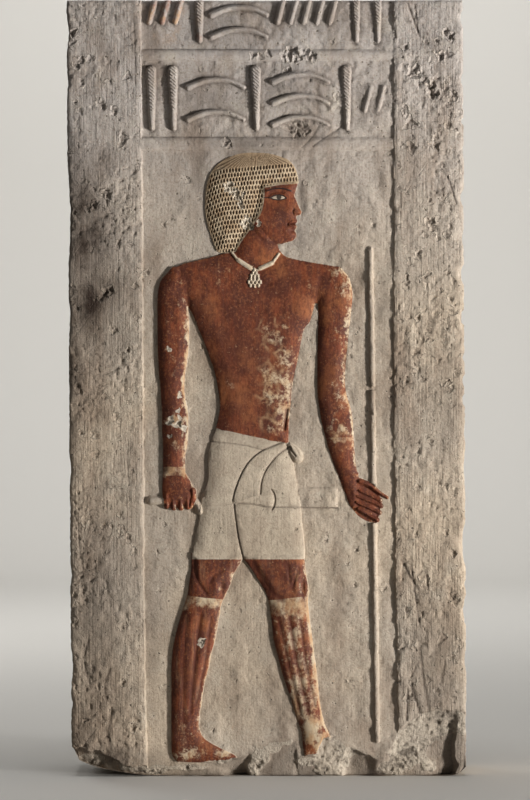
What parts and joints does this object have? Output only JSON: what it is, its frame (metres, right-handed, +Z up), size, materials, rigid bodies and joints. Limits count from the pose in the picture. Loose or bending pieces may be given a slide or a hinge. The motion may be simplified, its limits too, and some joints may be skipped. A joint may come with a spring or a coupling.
{
  "type": "carved relief slab",
  "caption": "Upright limestone slab in low raised relief: a standing man with a long staff between raised borders, under rows of plain strokes; square at the top, broken at the foot.",
  "frame": {"origin": "on the underside, in the middle of the slab's bounding box", "axes": "+Z up along the slab's height, -Y out of the carved front, +X to the right as seen from the front"},
  "size_m": [0.522, 0.14, 1.01],
  "materials": {
    "painted_limestone": "matt limestone, tooled and pitted, with worn red-brown paint on the figure's skin and ochre in the wig"
  },
  "bodies": {
    "root": {"relief_slab": "painted_limestone"}
  },
  "joints": []
}
